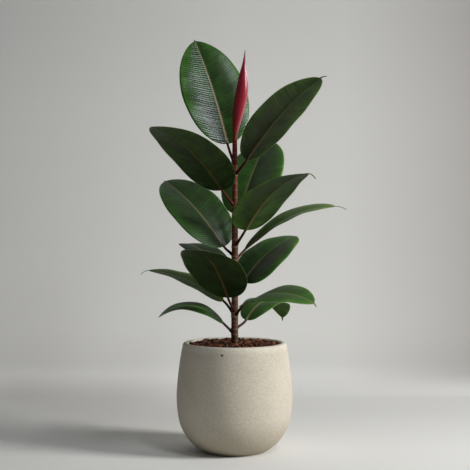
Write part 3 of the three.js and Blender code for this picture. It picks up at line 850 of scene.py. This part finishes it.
def blade(leaf, look, number):
    """Point = midrib + across v cos(fold) + up lift + normal thickness."""
    place, along, up, half, run, t = midrib(leaf)
    half, run, t = (part[:, None] for part in (half, run, t))
    v, lift, slope, thick, rib = section(leaf, half, run, t, number)
    across = unit(np.cross(up, along))[:, None]
    up = up[:, None]
    normal = up * np.cos(slope)[..., None] - across * np.sin(slope)[..., None]
    grid = (place[:, None] + across * (v * math.cos(math.radians(leaf["fold"])))[..., None]
            + up * lift[..., None] + normal * thick[..., None])
    size = np.abs(v)
    vein = run - VEIN_SLOPE * size - VEIN_CURVE * size**2 + LEAF_APART_MM * number
    # Painted light and shade: each leaf's tint, what each half adds, and edges painted paler for
    # light through the margin.
    foot_tint, tip_tint = look["tint_and_shade"]
    tint_and_shade = (foot_tint + (tip_tint - foot_tint) * t + np.where(v > 0, *look["half"])
            + np.where(v > 0, *look["edge_light"]) * np.abs(SHARE)**EDGE_FADE)
    middle = np.sin(math.pi * np.clip(np.abs(SHARE) * 1.1, 0, 1)) * np.sin(math.pi * t)
    # Painted reflection: a grey sheen on the middle of each half.
    grey_sheen = np.where(v > 0, *look["grey_sheen"]) * middle
    fade = 1 - np.where(UPPER > 0, RIB_FADE_UPPER, RIB_FADE_UNDER) * t
    on_rib = np.clip(1.5 - size / (1.1 * rib), 0, 1) * fade * look["rib"]
    edge = half - size + PAST_RIM_MM * (run > leaf["size"][0])
    return with_values(grid, vein, v, edge, UPPER, tint_and_shade, grey_sheen, on_rib, look["rough"])


blades = {name: blade(leaf, LOOKS[name], i) for i, (name, leaf) in enumerate(LEAVES.items())}
print("grid of one blade:", blades["leaf_01"].shape)

# %% [markdown]
# The blade's skin is a thick wax cuticle over dark green tissue. The wax gives a broad, rather
# sharp sheen, so the IOR is that of plant wax, about 1.45. Fine side veins run side by side to
# the edge, about three millimetres apart, drawn a little coarser so that they show. The midrib is
# pale pink-brown, and the edge a thin light line of painted rim light. All of it is drawn from
# the painted values: a sine of the vein's own distance gives the veins, and noise that is short
# along the midrib and long across it gives the streaks beside them.

# %% Recipe for one side of a leaf
VEIN_GAP_MM, STREAK_MM, STREAK_LONG_MM, CLOUD_LEAF_MM = 5.0, 2.1, 90.0, 30.0
WANDER_MM, WANDER_LONG_MM, WANDER = 12.0, 60.0, 2.5
CLOUD_SHARE, STREAK_SHARE, VEIN_SHARE, GREEN_LEVEL = 0.60, 0.45, -0.12, 0.465
RIM_FROM_MM, RIM_TO_MM, RIM_SHARE = 0.3, 1.8, 0.65


def leaf_side(name, greens, rib_tone, specular, relief):
    """The finish of one side of a leaf. Greens runs from deep to pale; the painted tint with its
    painted light and shade, slow clouds and streaks along the veins choose between them."""
    material, tree = new_material(name)
    vein, across, edge, tint_and_shade, grey_sheen, rib, wax = (
        add(tree, "Attribute", {}, out="Fac", attribute_name=value)
        for value in LEAF_VALUES if value != "upper")
    noises = []
    for along_mm, across_mm, detail in ((STREAK_MM, STREAK_LONG_MM, 2.0),
                                        (CLOUD_LEAF_MM, CLOUD_LEAF_MM, 3.0),
                                        (WANDER_MM, WANDER_LONG_MM, 2.0)):
        x = add(tree, "Math", {0: vein, 1: 1 / along_mm}, operation="MULTIPLY")
        y = add(tree, "Math", {0: across, 1: 1 / across_mm}, operation="MULTIPLY")
        lie = add(tree, "CombineXYZ", {"X": x, "Y": y})
        noises.append(add(tree, "TexNoise", {"Vector": lie, "Scale": 1.0, "Detail": detail,
                                             "Roughness": 0.6}))
    streak, cloud, wander = noises
    wander = add(tree, "Math", {0: wander, 1: WANDER}, operation="MULTIPLY")
    wave = add(tree, "Math", {0: vein, 1: 2 * math.pi / VEIN_GAP_MM, 2: wander},
               operation="MULTIPLY_ADD")
    wave = add(tree, "Math", {0: wave}, operation="SINE")
    wave = add(tree, "MapRange", {"Value": wave, "From Min": -1.0, "From Max": 1.0})
    depth = tint_and_shade
    for pattern, share in ((cloud, CLOUD_SHARE), (streak, STREAK_SHARE), (wave, VEIN_SHARE)):
        depth = add(tree, "Math", {0: pattern, 1: share, 2: depth}, operation="MULTIPLY_ADD")
    depth = add(tree, "Math", {0: depth, 1: GREEN_LEVEL}, operation="SUBTRACT", use_clamp=True)
    green = add(tree, "ValToRGB", {"Fac": depth},
                stops=list(zip((0.0, 0.33, 0.66, 1.0), greens)))
    # Painted rim light: a thin pale line along the edge.
    edge = add(tree, "MapRange", {"Value": edge, "From Min": RIM_FROM_MM, "From Max": RIM_TO_MM,
                                  "To Min": RIM_SHARE, "To Max": 0.0})
    # Mixed over the green: the painted grey sheen, the midrib's own colour and the painted rim
    # light.
    for share, tone in ((grey_sheen, "#45443c"), (rib, rib_tone), (edge, "#7f9a58")):
        green = add(tree, "Mix", {0: share, 6: green, 7: lin(tone)}, out=2, data_type="RGBA")
    rough = add(tree, "Math", {0: streak, 1: 0.2, 2: wax}, operation="MULTIPLY_ADD")
    rough = add(tree, "Math", {0: rough, 1: 0.1}, operation="SUBTRACT")
    height = add(tree, "Math", {0: wave, 1: 0.8, 2: streak}, operation="MULTIPLY_ADD")
    bump = add(tree, "Bump", {"Height": height, "Strength": relief, "Distance": 0.0005})
    surface = add(tree, "BsdfPrincipled", {"Base Color": green, "Roughness": rough, "IOR": 1.45,
                                           "Specular IOR Level": specular, "Normal": bump})
    add(tree, "OutputMaterial", {"Surface": surface})
    return material


print("streaks of", STREAK_MM, "mm, veins every", VEIN_GAP_MM, "mm")

# %% [markdown]
# The lower side is duller and more olive, with a redder midrib. Young leaves shine more
# than old ones, so there are two upper sides. One material could mix them by the painted
# wax, but the strength of a highlight is best set once on a whole material, which every
# program that reads the model understands. The painted wax still varies the roughness.

# %% Two upper sides, one under side and fourteen blades
UPPER_GREENS = ("#101e0c", "#234018", "#3d6a26", "#74a146")
UNDER_GREENS = ("#141e0b", "#2c3f1a", "#4a6a2c", "#7f9f54")
UPPER_RIB, UNDER_RIB, VEIN_RELIEF = "#8d7c62", "#77583a", 0.4
GLOSSY_BELOW = 0.4
glossy_side = leaf_side("glossy_leaf_upper_side", UPPER_GREENS, UPPER_RIB, 0.5, VEIN_RELIEF)
waxy_side = leaf_side("waxy_leaf_upper_side", UPPER_GREENS, UPPER_RIB, 0.24, VEIN_RELIEF)
under_side = leaf_side("dull_leaf_under_side", UNDER_GREENS, UNDER_RIB, 0.1, VEIN_RELIEF)
for name, grid in blades.items():
    upper_side = glossy_side if LOOKS[name]["rough"] < GLOSSY_BELOW else waxy_side
    piece(name + "_blade", [shell(grid)], upper_side, name, values=LEAF_VALUES,
          under=under_side)
